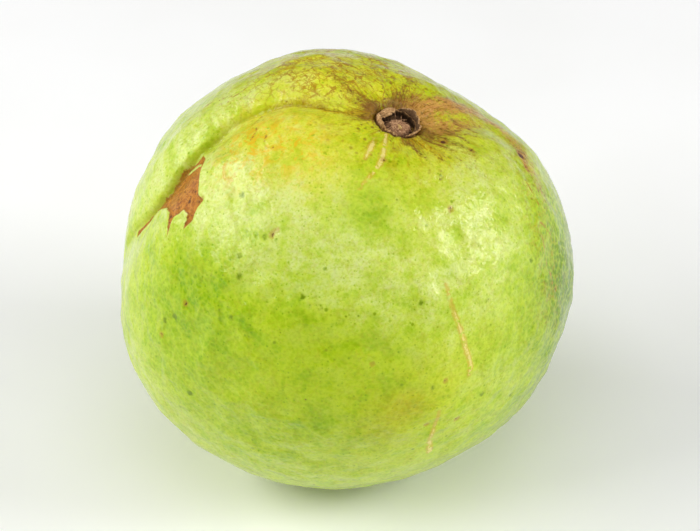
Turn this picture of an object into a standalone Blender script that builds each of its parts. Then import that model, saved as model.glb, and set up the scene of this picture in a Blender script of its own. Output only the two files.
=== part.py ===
"""A whole apple guava, resting beside its stem end with the dried calyx crown up.

Metres, +Z up. The origin is the middle of the small flat spot that the fruit rests on.
The front is -Y and the right is +X. Places on the skin are given as (longitude, latitude)
in degrees seen from the middle of the fruit: longitude 0 is the front and 90 is the right,
and latitude 90 is straight up.

The fruit is one turned body: rings are spun round an axis that runs from the calyx to the
stem, the axis is bent a little, and every ring point is then moved to the fruit's own
surface. The dried flower parts in the calyx and the stub of stem are separate pieces.
"""

from math import acos, asin, atan2, cos, degrees, exp, pi, radians, sin

import bmesh
import bpy
from mathutils import Matrix, Quaternion, Vector

MM = 0.001

# The whole fruit
HALF_WIDTH = 42.6 * MM
HALF_DEPTH = 41.8 * MM
HALF_HEIGHT = 41.9 * MM
CENTRE_HEIGHT = 41.3 * MM
GAP = 0.3 * MM

# Where the two ends of the fruit point, as (longitude, latitude)
CALYX_END = (66.0, 75.0)
STEM_END = (-112.0, -67.5)

# Each end is a round hollow: its depth, its reach as an angle, and how steep its side is
CALYX_HOLLOW = (5.4 * MM, 15.5, 1.7)
STEM_HOLLOW = (5.6 * MM, 10.5, 2.0)

# The flat seat at the bottom of each hollow: its radius and its distance from the centre
CALYX_SEAT_RADIUS = 4.5 * MM
CALYX_SEAT_DROP = 1.2 * MM
STEM_SEAT_RADIUS = 3.0 * MM
STEM_SEAT_DROP = 0.6 * MM

# Broad swells and dents of the flesh: longitude, latitude, reach as an angle, height
SWELLS = {
    "lower_left_cheek": (-70.0, -23.0, 29.0, 3.1 * MM),
    "front_left_heel": (-33.0, -47.0, 22.0, 1.7 * MM),
    "front_right_heel": (58.0, -38.0, 13.0, 0.9 * MM),
    "shoulder_behind_calyx": (-10.0, 86.0, 20.0, 0.5 * MM),
    "flat_right_of_calyx": (134.0, 46.0, 25.0, -3.8 * MM),
    "back_left_shoulder": (-112.0, 30.0, 24.0, 0.8 * MM),
    "back_left_dent": (-136.0, 46.0, 13.0, -0.9 * MM),
    "back_cheek": (165.0, -8.0, 34.0, 1.0 * MM),
}

# Low ribs that run from end to end, as on every guava
RIBS = 5
RIB_HEIGHT = 0.35 * MM
RIB_TURN = 24.0

# Folds in the skin: the line that each follows, its depth and its half-width on each side
FOLDS = {
    "long_fold": {
        "line": (CALYX_END, (-27.0, 85.0), (-68.0, 79.0), (-80.0, 68.0), (-81.0, 56.0),
                 (-78.0, 42.0), (-78.0, 30.0), (-81.0, 17.0), (-87.0, 4.0), (-93.0, -12.0)),
        "depth": 1.7 * MM,
        "reach_left": 3.4,
        "reach_right": 6.5,
    },
    "right_valley": {
        "line": (CALYX_END, (84.0, 62.0), (92.0, 48.0), (98.0, 30.0)),
        "depth": 1.1 * MM,
        "reach_left": 9.0,
        "reach_right": 9.0,
    },
}

# The mesh of the turned body: segments round it, and the angles of its rings from the calyx
SEGMENTS = 72
RING_STEP = 4.5
FINE_RING_STEP = 2.2
FINE_RINGS = 9

# The rest spot is where the round underside is cut flat on this plane
GROUND_Z = 0.0

# The dried calyx
RING_OUTER_RADIUS = 4.15 * MM
RING_INNER_RADIUS = 3.15 * MM
RING_HEIGHT = 1.9 * MM
RING_FLOOR = 0.8 * MM
RING_SEGMENTS = 40
SEPAL_THICKNESS = 0.65 * MM
# Each sepal: turn round the calyx, width as an angle, height, lean inwards at the tip
SEPALS = {
    "sepal_left": (176.0, 62.0, 2.9 * MM, 74.0),
    "sepal_back": (108.0, 56.0, 1.7 * MM, 38.0),
    "sepal_right": (38.0, 64.0, 2.7 * MM, 58.0),
    "sepal_front_right": (-32.0, 58.0, 2.1 * MM, 66.0),
    "sepal_front": (-106.0, 60.0, 1.2 * MM, 30.0),
}
SEPAL_ACROSS = 8
SEPAL_UP = 5
STYLE_RADIUS = 0.5 * MM
STYLE_TIP_RADIUS = 0.38 * MM
STYLE_HEIGHT = 2.1 * MM
STAMEN_RING_RADIUS = 1.95 * MM
STAMEN_RING_THICKNESS = 1.35 * MM

# The stub of stem, broken off short
STEM_RADIUS = 2.1 * MM
STEM_FOOT_RADIUS = 2.7 * MM
STEM_LENGTH = 5.0 * MM
STEM_SEGMENTS = 24

# Colours as (red, green, blue), linear
GREEN_SKIN = (0.48, 0.62, 0.06)
DRY_BROWN = (0.17, 0.10, 0.05)
DRY_GREY_BROWN = (0.27, 0.18, 0.10)
DRY_TAN = (0.34, 0.21, 0.13)
BARK_BROWN = (0.12, 0.07, 0.04)


def clear_scene():
    for obj in list(bpy.data.objects):
        bpy.data.objects.remove(obj, do_unlink=True)


def material(name, colour, roughness):
    made = bpy.data.materials.new(name)
    made.use_nodes = True
    shader = made.node_tree.nodes["Principled BSDF"]
    shader.inputs["Base Color"].default_value = (*colour, 1.0)
    shader.inputs["Roughness"].default_value = roughness
    shader.inputs["Metallic"].default_value = 0.0
    made.diffuse_color = (*colour, 1.0)
    return made


def direction(longitude, latitude):
    """The unit vector from the middle of the fruit towards a place on its skin."""
    lon, lat = radians(longitude), radians(latitude)
    return Vector((sin(lon) * cos(lat), -cos(lon) * cos(lat), sin(lat)))


CENTRE = Vector((0, 0, CENTRE_HEIGHT))
CALYX_AXIS = direction(*CALYX_END)
CALYX_RIGHT = (Vector((1, 0, 0)) - CALYX_AXIS * CALYX_AXIS.x).normalized()
CALYX_BACK = CALYX_AXIS.cross(CALYX_RIGHT)
STEM_AXIS = direction(*STEM_END)


def angle_between(a, b):
    return degrees(acos(max(-1.0, min(1.0, a.dot(b)))))


def fade(x):
    """Goes smoothly from 0 at x = 0 to 1 at x = 1."""
    x = max(0.0, min(1.0, x))
    return x * x * (3 - 2 * x)


def bump(angle, reach, steepness=2.0):
    """A round bump of height 1, which fades at about the angle that it reaches."""
    return exp(-((angle / reach) ** steepness))


def place_along(line, towards):
    """(signed angle to the line, share of the way along it) for a direction.

    The angle is positive to the left of the line, for someone who stands on the skin and
    walks along it."""
    points = [direction(*p) for p in line]
    lengths = [angle_between(a, b) for a, b in zip(points, points[1:])]
    walked, best = 0.0, (180.0, 0.0)
    for a, b, length in zip(points, points[1:], lengths):
        normal = a.cross(b).normalized()
        off = asin(max(-1.0, min(1.0, normal.dot(towards))))
        along = atan2(a.cross(towards).dot(normal), a.dot(towards))
        share = max(0.0, min(1.0, degrees(along) / length))
        nearest = (a * (1 - share) + b * share).normalized()
        distance = angle_between(nearest, towards)
        if distance < abs(best[0]):
            best = (distance if off > 0 else -distance, (walked + share * length) / sum(lengths))
        walked += length
    return best


def fold_depth(fold, towards):
    off, along = place_along(fold["line"], towards)
    reach = fold["reach_left"] if off > 0 else fold["reach_right"]
    ends = fade(along / 0.15) * fade((1 - along) / 0.35)
    return fold["depth"] * ends * bump(abs(off), reach, 1.5)


def body_radius(towards):
    """How far the flesh reaches from the centre in a direction, without the two hollows."""
    flat = Vector((towards.x / HALF_WIDTH, towards.y / HALF_DEPTH, towards.z / HALF_HEIGHT))
    radius = 1.0 / flat.length
    for longitude, latitude, reach, height in SWELLS.values():
        radius += height * bump(angle_between(towards, direction(longitude, latitude)), reach)
    round_axis = atan2(towards.dot(CALYX_BACK), towards.dot(CALYX_RIGHT))
    from_calyx = radians(angle_between(towards, CALYX_AXIS))
    radius += RIB_HEIGHT * cos(RIBS * round_axis + radians(RIB_TURN)) * sin(from_calyx) ** 2
    return radius


def hollow(angle, sizes):
    depth, reach, steepness = sizes
    return depth * bump(angle, reach, steepness)


CALYX_SEAT = body_radius(CALYX_AXIS) - CALYX_HOLLOW[0] - CALYX_SEAT_DROP
STEM_SEAT = body_radius(STEM_AXIS) - STEM_HOLLOW[0] - STEM_SEAT_DROP


def surface_radius(towards):
    """How far the skin is from the centre in a direction."""
    from_calyx = angle_between(towards, CALYX_AXIS)
    from_stem = angle_between(towards, STEM_AXIS)
    if CALYX_SEAT * sin(radians(from_calyx)) < CALYX_SEAT_RADIUS * cos(radians(from_calyx)):
        return CALYX_SEAT / cos(radians(from_calyx))
    if STEM_SEAT * sin(radians(from_stem)) < STEM_SEAT_RADIUS * cos(radians(from_stem)):
        return STEM_SEAT / cos(radians(from_stem))
    radius = body_radius(towards)
    radius -= hollow(from_calyx, CALYX_HOLLOW) + hollow(from_stem, STEM_HOLLOW)
    radius -= sum(fold_depth(fold, towards) for fold in FOLDS.values())
    return radius


def ring_angles():
    """Ring angles from the calyx: one ring on each side of a seat's edge, then fine, then coarse."""
    calyx_edge = degrees(atan2(CALYX_SEAT_RADIUS, CALYX_SEAT))
    stem_edge = degrees(atan2(STEM_SEAT_RADIUS, STEM_SEAT))
    near_calyx = [calyx_edge * 0.5, calyx_edge - 0.05, calyx_edge + 0.45]
    near_stem = [stem_edge * 0.5, stem_edge - 0.05, stem_edge + 0.35]
    near_calyx += [calyx_edge + 0.45 + FINE_RING_STEP * (i + 1) for i in range(FINE_RINGS)]
    near_stem += [stem_edge + 0.35 + FINE_RING_STEP * (i + 1) for i in range(FINE_RINGS)]
    first, last = near_calyx[-1], 180 - near_stem[-1]
    steps = round((last - first) / RING_STEP)
    middle = [first + (last - first) * i / steps for i in range(1, steps)]
    return near_calyx + middle + [180 - a for a in reversed(near_stem)]


def turned_rings():
    """The rings of the body on a unit ball, spun round the calyx axis and closed at both ends."""
    bm = bmesh.new()
    chain = [bm.verts.new((0, 0, 1))]
    chain += [bm.verts.new((sin(radians(a)), 0, cos(radians(a)))) for a in ring_angles()]
    chain.append(bm.verts.new((0, 0, -1)))
    edges = [bm.edges.new(pair) for pair in zip(chain, chain[1:])]
    bmesh.ops.spin(bm, geom=chain + edges, cent=(0, 0, 0), axis=(0, 0, 1), angle=2 * pi,
                   steps=SEGMENTS, use_merge=True)
    bmesh.ops.remove_doubles(bm, verts=bm.verts, dist=1e-5)
    return bm


def make_fruit(skin):
    bm = turned_rings()
    upright = CALYX_AXIS.to_track_quat("Z", "Y")
    bend = (-CALYX_AXIS).rotation_difference(STEM_AXIS)
    for vertex in bm.verts:
        share = fade(acos(max(-1.0, min(1.0, vertex.co.normalized().z))) / pi)
        bent = Quaternion().slerp(bend, share)
        towards = (bent @ (upright @ vertex.co)).normalized()
        vertex.co = CENTRE + towards * surface_radius(towards)
    cut = bmesh.ops.bisect_plane(bm, geom=bm.verts[:] + bm.edges[:] + bm.faces[:], dist=1e-6,
                                 plane_co=(0, 0, GROUND_Z), plane_no=(0, 0, -1),
                                 clear_outer=True)
    rim = [e for e in cut["geom_cut"] if isinstance(e, bmesh.types.BMEdge)]
    bmesh.ops.contextual_create(bm, geom=rim)
    bmesh.ops.recalc_face_normals(bm, faces=bm.faces)
    return add_object("fruit", bm, skin)


def add_object(name, bm, look):
    """Links a finished bmesh as an object, shaded smooth but for its sharp edges."""
    mesh = bpy.data.meshes.new(name)
    bm.to_mesh(mesh)
    bm.free()
    mesh.materials.append(look)
    mesh.shade_smooth()
    mesh.set_sharp_from_angle(angle=radians(40))
    obj = bpy.data.objects.new(name, mesh)
    bpy.context.scene.collection.objects.link(obj)
    return obj


def turned(profile, segments):
    """A solid turned round +Z from (radius, height) points that start and end on the axis."""
    bm = bmesh.new()
    chain = [bm.verts.new((r, 0, z)) for r, z in profile]
    edges = [bm.edges.new(pair) for pair in zip(chain, chain[1:])]
    bmesh.ops.spin(bm, geom=chain + edges, cent=(0, 0, 0), axis=(0, 0, 1), angle=2 * pi,
                   steps=segments, use_merge=True)
    bmesh.ops.remove_doubles(bm, verts=bm.verts, dist=1e-7)
    bmesh.ops.recalc_face_normals(bm, faces=bm.faces)
    return bm


def end_frame(name, axis, seat):
    """An empty on a hollow's flat seat: its +Z points out of the fruit, its +X to the right."""
    right = (Vector((1, 0, 0)) - axis * axis.x).normalized()
    frame = Matrix((right, axis.cross(right), axis)).transposed().to_4x4()
    frame.translation = CENTRE + axis * seat
    empty = bpy.data.objects.new(name, None)
    empty.matrix_world = frame
    bpy.context.scene.collection.objects.link(empty)
    return empty


def stand_on(empty, obj, height):
    obj.parent = empty
    obj.location = (0, 0, height)


def make_calyx_ring(look):
    """The dry rim of the old flower: a low cup with a thick wall."""
    soft = 0.3 * MM
    profile = (
        (0, 0),
        (RING_OUTER_RADIUS - soft, 0),
        (RING_OUTER_RADIUS, soft),
        (RING_OUTER_RADIUS, RING_HEIGHT - soft),
        (RING_OUTER_RADIUS - soft, RING_HEIGHT),
        (RING_INNER_RADIUS + soft, RING_HEIGHT),
        (RING_INNER_RADIUS, RING_HEIGHT - soft),
        (RING_INNER_RADIUS, RING_FLOOR),
        (0, RING_FLOOR),
    )
    return add_object("calyx_ring", turned(profile, RING_SEGMENTS), look)


def make_sepal(name, width, height, lean, look):
    """A dry sepal: a curved leaf on the ring, narrower at its tip and leaning inwards."""
    bm = bmesh.new()
    bmesh.ops.create_grid(bm, x_segments=SEPAL_ACROSS, y_segments=SEPAL_UP, size=1.0)
    radius = (RING_OUTER_RADIUS + RING_INNER_RADIUS) / 2
    for vertex in bm.verts:
        across, up = vertex.co.x, (vertex.co.y + 1) / 2
        turn = radians(width / 2) * across * (1 - 0.45 * up * up)
        tilt = radians(lean) * up
        inwards = height * up * sin(tilt) * 0.8
        rise = height * up * (1 - 0.35 * sin(tilt)) * (1 - 0.3 * across * across * up)
        reach = radius - inwards
        vertex.co = Vector((reach * cos(turn), reach * sin(turn), rise))
    bmesh.ops.recalc_face_normals(bm, faces=bm.faces)
    obj = add_object(name, bm, look)
    wall = obj.modifiers.new("thickness", "SOLIDIFY")
    wall.thickness = SEPAL_THICKNESS
    wall.offset = 0.0
    wall.use_even_offset = True
    return obj


def make_style(look):
    profile = ((0, 0), (STYLE_RADIUS, 0), (STYLE_TIP_RADIUS, STYLE_HEIGHT * 0.7),
               (STYLE_TIP_RADIUS, STYLE_HEIGHT), (0, STYLE_HEIGHT))
    return add_object("style_stub", turned(profile, 12), look)


def make_stamens(look):
    """The mat of dry stamens, a lumpy ring round the style."""
    rings, sides, lumps = 30, 8, 5
    bm = bmesh.new()
    loops = []
    for i in range(rings):
        turn = 2 * pi * i / rings
        swell = 1 + 0.12 * cos(lumps * turn)
        out = Vector((cos(turn), sin(turn), 0))
        loop = []
        for j in range(sides):
            a = 2 * pi * j / sides
            half = STAMEN_RING_THICKNESS / 2 * swell
            point = out * (STAMEN_RING_RADIUS + half * cos(a))
            point.z = half * (1 + sin(a))
            loop.append(bm.verts.new(point))
        loops.append(loop)
    for first, second in zip(loops, loops[1:] + loops[:1]):
        for j in range(sides):
            k = (j + 1) % sides
            bm.faces.new((first[j], first[k], second[k], second[j]))
    bmesh.ops.recalc_face_normals(bm, faces=bm.faces)
    return add_object("stamen_mat", bm, look)


def make_stem_stub(look):
    """The stub of stem: wider at its foot, with a broken end."""
    profile = (
        (0, 0),
        (STEM_FOOT_RADIUS * 0.92, 0),
        (STEM_FOOT_RADIUS, STEM_LENGTH * 0.08),
        (STEM_RADIUS * 1.02, STEM_LENGTH * 0.36),
        (STEM_RADIUS, STEM_LENGTH * 0.7),
        (STEM_RADIUS * 1.06, STEM_LENGTH * 0.92),
        (STEM_RADIUS * 0.9, STEM_LENGTH),
        (STEM_RADIUS * 0.4, STEM_LENGTH * 0.95),
        (0, STEM_LENGTH * 0.95),
    )
    return add_object("stem_stub", turned(profile, STEM_SEGMENTS), look)


def main():
    clear_scene()
    skin = material("guava_skin", GREEN_SKIN, 0.35)
    dry_rim = material("dry_calyx", DRY_BROWN, 0.85)
    dry_leaf = material("dry_sepal", DRY_GREY_BROWN, 0.85)
    dry_threads = material("dry_stamens", DRY_TAN, 0.9)
    bark = material("stem_bark", BARK_BROWN, 0.8)

    make_fruit(skin)

    calyx = end_frame("calyx_frame", CALYX_AXIS, CALYX_SEAT)
    stand_on(calyx, make_calyx_ring(dry_rim), GAP)
    floor = GAP + RING_FLOOR + GAP
    stand_on(calyx, make_stamens(dry_threads), floor)
    stand_on(calyx, make_style(dry_threads), floor)
    for name, (turn, width, height, lean) in SEPALS.items():
        sepal = make_sepal(name, width, height, lean, dry_leaf)
        stand_on(calyx, sepal, GAP + RING_HEIGHT + 2 * GAP)
        sepal.rotation_euler.z = radians(turn)

    stem = end_frame("stem_frame", STEM_AXIS, STEM_SEAT)
    stand_on(stem, make_stem_stub(bark), GAP)


main()
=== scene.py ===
# %% [markdown]
# # A whole apple guava
#
# One ripening guava lies on a pale table with its dry flower crown turned up. A plain, exact
# model of it already exists. It gives every size and place, and this file gives the looks: the
# folded, bumpy skin, its colours and blemishes, the dry crown and the stub of stem.
#
# All lengths are in metres. Places on the skin are (longitude, latitude) in degrees, seen from
# the middle of the fruit: longitude 0 faces the front (-Y), 90 the right (+X), and latitude 90
# is straight up.

# %% Load the plain model
from math import cos, pi, radians, sin

import bpy
import numpy as np
from mathutils import Matrix, Vector, noise


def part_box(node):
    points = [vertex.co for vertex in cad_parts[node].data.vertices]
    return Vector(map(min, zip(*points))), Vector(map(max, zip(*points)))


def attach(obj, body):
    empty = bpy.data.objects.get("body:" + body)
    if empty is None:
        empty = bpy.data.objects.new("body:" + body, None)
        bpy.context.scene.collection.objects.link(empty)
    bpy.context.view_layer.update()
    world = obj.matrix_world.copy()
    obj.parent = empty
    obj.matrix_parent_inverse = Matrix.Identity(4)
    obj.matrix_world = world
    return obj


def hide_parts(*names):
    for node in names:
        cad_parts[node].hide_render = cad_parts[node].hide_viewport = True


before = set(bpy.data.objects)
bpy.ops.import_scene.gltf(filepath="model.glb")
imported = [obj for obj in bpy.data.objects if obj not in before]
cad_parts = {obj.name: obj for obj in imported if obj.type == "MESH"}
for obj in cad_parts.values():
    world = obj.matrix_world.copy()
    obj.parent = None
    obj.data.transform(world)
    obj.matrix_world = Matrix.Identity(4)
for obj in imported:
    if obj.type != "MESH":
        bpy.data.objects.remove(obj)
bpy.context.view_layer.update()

# %% [markdown]
# ## Places on a round fruit
#
# Nearly every step asks "how far is this bit of skin from that mark?" On a ball that is an
# angle, so a few small functions turn longitudes and latitudes into directions, and angles into
# millimetres. They work on all the vertices at once, as arrays, because the skin has a hundred
# thousand of them.

# %% The middle of the fruit and its two ends
MM = 0.001
CENTRE_HEIGHT = 41.3 * MM  # the plain model's own middle
CENTRE = np.array((0, 0, CENTRE_HEIGHT))
SKIN_RADIUS_MM = 42.0


def direction(longitude, latitude):
    """The unit vector from the middle of the fruit towards a place on its skin."""
    lon, lat = radians(longitude), radians(latitude)
    return np.array((sin(lon) * cos(lat), -cos(lon) * cos(lat), sin(lat)))


def unit(vectors):
    return vectors / np.linalg.norm(vectors, axis=-1, keepdims=True)


def middle_of(node):
    low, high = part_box(node)
    return np.array((low + high) / 2)


CALYX_AXIS = unit(middle_of("calyx_ring") - CENTRE)
STEM_AXIS = unit(middle_of("stem_stub") - CENTRE)
print("the calyx points along", CALYX_AXIS.round(3), "and the stem along", STEM_AXIS.round(3))


# %% Distances over the skin, in millimetres
def distance_from(place, towards):
    """How far each direction is from one place, over the skin."""
    return np.arccos(np.clip(towards @ place, -1, 1)) * SKIN_RADIUS_MM


def smooth_line(places, steps=6):
    """A smooth curve over the skin through a few places, as directions (a Catmull-Rom spline)."""
    corners = [direction(*p) for p in places]
    corners = [2 * corners[0] - corners[1]] + corners + [2 * corners[-1] - corners[-2]]
    curve = []
    for a, b, c, d in zip(corners, corners[1:], corners[2:], corners[3:]):
        for t in np.arange(steps) / steps:
            curve.append(0.5 * (2 * b + (c - a) * t + (2 * a - 5 * b + 4 * c - d) * t * t
                                + (3 * b - a - 3 * c + d) * t ** 3))
    return [unit(p) for p in curve + [corners[-2]]]


def along_line(places, towards):
    """Each direction's distance from a curve over the skin, and its share of the way along it.

    The distance is positive on the left of someone who walks along the curve."""
    curve = smooth_line(places)
    lengths = [float(distance_from(a, b)) for a, b in zip(curve, curve[1:])]
    nearest, share, walked = np.full(len(towards), 1e9), np.zeros(len(towards)), 0.0
    for a, b, length in zip(curve, curve[1:], lengths):
        part = np.clip((towards - a) @ (b - a) / ((b - a) @ (b - a)), 0, 1)
        foot = unit(a + part[:, None] * (b - a))
        apart = np.linalg.norm(towards - foot, axis=1) * SKIN_RADIUS_MM
        side = np.where(towards @ np.cross(a, b) > 0, 1, -1)
        closer = apart < np.abs(nearest)
        nearest = np.where(closer, apart * side, nearest)
        share = np.where(closer, (walked + part * length) / sum(lengths), share)
        walked += length
    return nearest, share


def fade(x, start=0.0, end=1.0):
    """Goes smoothly from 0 at start to 1 at end."""
    t = np.clip((x - start) / (end - start), 0, 1)
    return t * t * (3 - 2 * t)


def bump(x, reach, steepness=2.0):
    """A round bump of height 1 at x = 0, which fades at about its reach."""
    return np.exp(-(np.abs(x) / reach) ** steepness)


# %% [markdown]
# ## Working with meshes
#
# Blender's operators act on whatever is selected, and the plain model arrives selected. So every
# piece starts by selecting nothing. The vertices are read and written as one array.

# %% Helpers for meshes
def only(obj):
    bpy.ops.object.select_all(action="DESELECT")
    obj.select_set(True)
    bpy.context.view_layer.objects.active = obj


def put_in_place(obj, matrix=Matrix.Identity(4)):
    """Moves a piece's mesh, so that its object stays at the origin, unturned and unscaled."""
    obj.data.transform(matrix @ obj.matrix_world)
    obj.matrix_world = Matrix.Identity(4)


def start(name, add_primitive, **settings):
    """Adds a primitive with nothing else selected, names it and puts its place in its mesh."""
    bpy.ops.object.select_all(action="DESELECT")
    add_primitive(**settings)
    obj = bpy.context.active_object
    obj.name = obj.data.name = name
    put_in_place(obj)
    return obj


def settle(obj, matrix=Matrix.Identity(4)):
    """Moves a shaped piece to its place on the fruit, and shades it smooth."""
    put_in_place(obj, matrix)
    only(obj)
    bpy.ops.object.shade_smooth()


def rows_of(items, name):
    """What every vertex or face has, such as its place or its normal, one row for each."""
    values = np.empty(len(items) * 3)
    items.foreach_get(name, values)
    return values.reshape(-1, 3)


def points_of(obj):
    return rows_of(obj.data.vertices, "co")


def move_points(obj, points):
    obj.data.vertices.foreach_set("co", points.ravel())
    obj.data.update()


def write(obj, name, values):
    """Keeps one number per vertex on the mesh, for the material to read by name."""
    layer = obj.data.attributes.new(name, "FLOAT", "POINT")
    layer.data.foreach_set("value", np.asarray(values, np.float32))


def write_colour(obj, name, colours):
    layer = obj.data.color_attributes.new(name, "FLOAT_COLOR", "POINT")
    rgba = np.ones((len(colours), 4), np.float32)
    rgba[:, :3] = colours
    layer.data.foreach_set("color", rgba.ravel())


# %% Helpers for edit mode and modifiers
WHOLE = (bpy.ops.mesh.select_all, {"action": "SELECT"})


def lift(height):
    """The step that extrudes the selected faces straight up, or down."""
    return bpy.ops.mesh.extrude_region_move, {"TRANSFORM_OT_translate": {"value": (0, 0, height)}}


def select_faces(obj, wanted):
    """In object mode, selects the faces for which an array of true and false says so."""
    only(obj)
    mesh = obj.data
    mesh.vertices.foreach_set("select", np.zeros(len(mesh.vertices), bool))
    mesh.edges.foreach_set("select", np.zeros(len(mesh.edges), bool))
    mesh.polygons.foreach_set("select", wanted)


def select_top(obj):
    upwards = rows_of(obj.data.polygons, "normal")[:, 2]
    select_faces(obj, upwards > 0.9)


def in_edit_mode(obj, *steps):
    """Runs mesh operators, each given as (operator, settings), on what is selected."""
    only(obj)
    bpy.ops.object.mode_set(mode="EDIT")
    for operator, settings in steps:
        operator(**settings)
    bpy.ops.object.mode_set(mode="OBJECT")


def modify(obj, kind, **settings):
    """Adds a modifier, gives it its settings and applies it."""
    only(obj)
    added = obj.modifiers.new(kind.lower(), kind)
    for name, value in settings.items():
        setattr(added, name, value)
    bpy.ops.object.modifier_apply(modifier=added.name)


def displace(obj, name, size, height, group="", **settings):
    """Raises and lowers a surface by cloud noise: size is that of its lumps."""
    texture = bpy.data.textures.new(name, "CLOUDS")
    texture.noise_scale = size
    for key, value in settings.items():
        setattr(texture, key, value)
    modify(obj, "DISPLACE", texture=texture, texture_coords="LOCAL", strength=height,
           mid_level=0.5, vertex_group=group)


# %% [markdown]
# ## The camera
#
# The camera looks down at the fruit from a good step away with a long lens, so that the round
# shape isn't distorted. It comes early, because every test render needs it.

# %% Camera
LOOK_DOWN = 37.0
LENS_MM = 200.0
FRAME_HEIGHT = 0.1015  # how much height the picture takes in at the fruit
SENSOR_MM = 36.0
PICTURE_SHAPE = 531 / 700

low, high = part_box("fruit")
AIM = Vector((0, 0, (low.z + high.z) / 2))
back_off = FRAME_HEIGHT / (PICTURE_SHAPE * SENSOR_MM) * LENS_MM
towards_camera = Vector(direction(0, LOOK_DOWN))

camera_data = bpy.data.cameras.new("camera")
camera_data.lens = LENS_MM
camera_data.sensor_width = SENSOR_MM
camera = bpy.data.objects.new("camera", camera_data)
camera.location = AIM + towards_camera * back_off
camera.rotation_euler = towards_camera.to_track_quat("Z", "Y").to_euler()
bpy.context.scene.collection.objects.link(camera)
bpy.context.scene.camera = camera
print("the camera stands", round(back_off, 3), "m from the fruit")

# %% [markdown]
# ## The skin, from a block
#
# A guava is nearly a ball, and a ball with poles would pinch there. A cube that is cut into
# small squares and blown up to a sphere has even faces all over. Its corners have the smallest
# squares, so one corner is turned to the calyx and the next one to the scar, where the detail
# is. Faces round the calyx, the scar and the long fold are cut once more.

# %% Where the marks on the skin are
LONG_FOLD = ((66, 75), (0, 83), (-56, 80), (-79, 74), (-85, 66), (-85, 57), (-81, 48), (-79, 38),
             (-79, 29), (-82, 20), (-88, 8), (-93, -6))
SCAR_OUTLINE = ((-79, 46.5), (-73, 47.5), (-68, 45.5), (-61, 41), (-57.5, 41), (-58, 38.5),
                (-57, 35), (-58.5, 31.5), (-60, 35.5), (-62.5, 35.5), (-64.5, 32), (-62.8, 27),
                (-66, 30.5), (-68, 31.7), (-72, 31), (-76, 28), (-78, 24), (-81.5, 15),
                (-83, 16), (-81, 21.5), (-79.2, 27), (-78.6, 33), (-79.8, 40))
SCAR_AXIS = direction(-68, 37)


def blocked_turn(first, second):
    """Turns a cube so that one corner points along first, and the next leans towards second."""
    corner, beside = unit(np.array((1.0, 1.0, 1.0))), unit(np.array((1.0, 1.0, -1.0)))

    def axes(a, b):
        side = unit(np.cross(a, b))
        return np.array((a, side, np.cross(side, a))).T

    turn = axes(first, second) @ axes(corner, beside).T
    return Matrix(turn.tolist()).to_4x4()


# %% Cut a cube into squares and blow it up
SQUARES = 101

skin = start("guava_skin", bpy.ops.mesh.primitive_cube_add, size=0.11)
in_edit_mode(skin,
             WHOLE,
             (bpy.ops.mesh.subdivide, {"number_cuts": SQUARES - 1}),
             (bpy.ops.transform.tosphere, {"value": 1.0}))
put_in_place(skin, Matrix.Translation(CENTRE) @ blocked_turn(CALYX_AXIS, SCAR_AXIS))

FINE_ROUND_CALYX, FINE_ROUND_SCAR, FINE_BESIDE_FOLD = 10.5, 12, 2.2  # in mm
facing = unit(rows_of(skin.data.polygons, "center") - CENTRE)
fine = distance_from(CALYX_AXIS, facing) < FINE_ROUND_CALYX
fine |= distance_from(SCAR_AXIS, facing) < FINE_ROUND_SCAR
from_fold, along_fold = along_line(LONG_FOLD, facing)
fine |= (np.abs(from_fold) < FINE_BESIDE_FOLD) & (along_fold < 0.93)
select_faces(skin, fine)
in_edit_mode(skin, (bpy.ops.mesh.subdivide, {"number_cuts": 1}))
print("the skin has", len(skin.data.polygons), "faces")

# %% [markdown]
# ## Pressed onto the plain shape
#
# The plain fruit is made of flat facets. A merged, smoothed copy of it serves as the form, and
# the Shrinkwrap modifier presses the skin onto that form along straight lines through the
# middle. After this the skin has the right size everywhere, and the details go on top.

# %% Shrinkwrap on a smooth copy
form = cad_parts["fruit"].copy()
form.data = form.data.copy()
form.name = "smooth_form"
form.parent = None
bpy.context.scene.collection.objects.link(form)
in_edit_mode(form,
             WHOLE,
             (bpy.ops.mesh.remove_doubles, {"threshold": 1e-6}),
             (bpy.ops.mesh.tris_convert_to_quads, {}))
modify(form, "SUBSURF", levels=2, render_levels=2)

modify(skin, "SHRINKWRAP", target=form, wrap_method="PROJECT", use_negative_direction=True,
       use_positive_direction=False)
modify(skin, "SMOOTH", factor=0.5, iterations=4)
bpy.data.objects.remove(form)
print("pressed to", (np.ptp(points_of(skin), axis=0) / MM).round(1), "mm")

# %% [markdown]
# ## Soft bumps
#
# A guava's skin isn't a smooth ball. It has shallow bumps as wide as a fingertip, and finer
# wrinkles where the flesh has begun to soften. Displace modifiers with three sizes of cloud
# texture raise them, and the hollows round the calyx and the stem are left out.

# %% Bumps with the Displace modifier
towards = unit(points_of(skin) - CENTRE)
open_skin = fade(distance_from(CALYX_AXIS, towards), 6, 13)
open_skin *= fade(distance_from(STEM_AXIS, towards), 5, 10)
group = skin.vertex_groups.new(name="open_skin")
for i, weight in enumerate(open_skin.tolist()):
    group.add((i,), weight, "REPLACE")

displace(skin, "broad_bumps", 12 * MM, 1.0 * MM, "open_skin", noise_depth=1)
displace(skin, "soft_bumps", 5 * MM, 0.6 * MM, "open_skin", noise_depth=1)
displace(skin, "small_bumps", 2.2 * MM, 0.22 * MM, "open_skin", noise_depth=1)

# %% [markdown]
# ## The long fold, the pleats and the marks
#
# The fold is a soft roll of flesh that leans over the skin beside it: the rolled side stands
# high and turns down steeply, and the near side comes out from under it. Short pleats run out
# of the calyx like a drawn purse. The scar lies a little lower than the skin, the pale
# scratches stand a little proud, and the larger spots are small pits. Each of these is a height
# in millimetres, worked out from the distance to its line or place, and the heights are added
# up.

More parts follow.
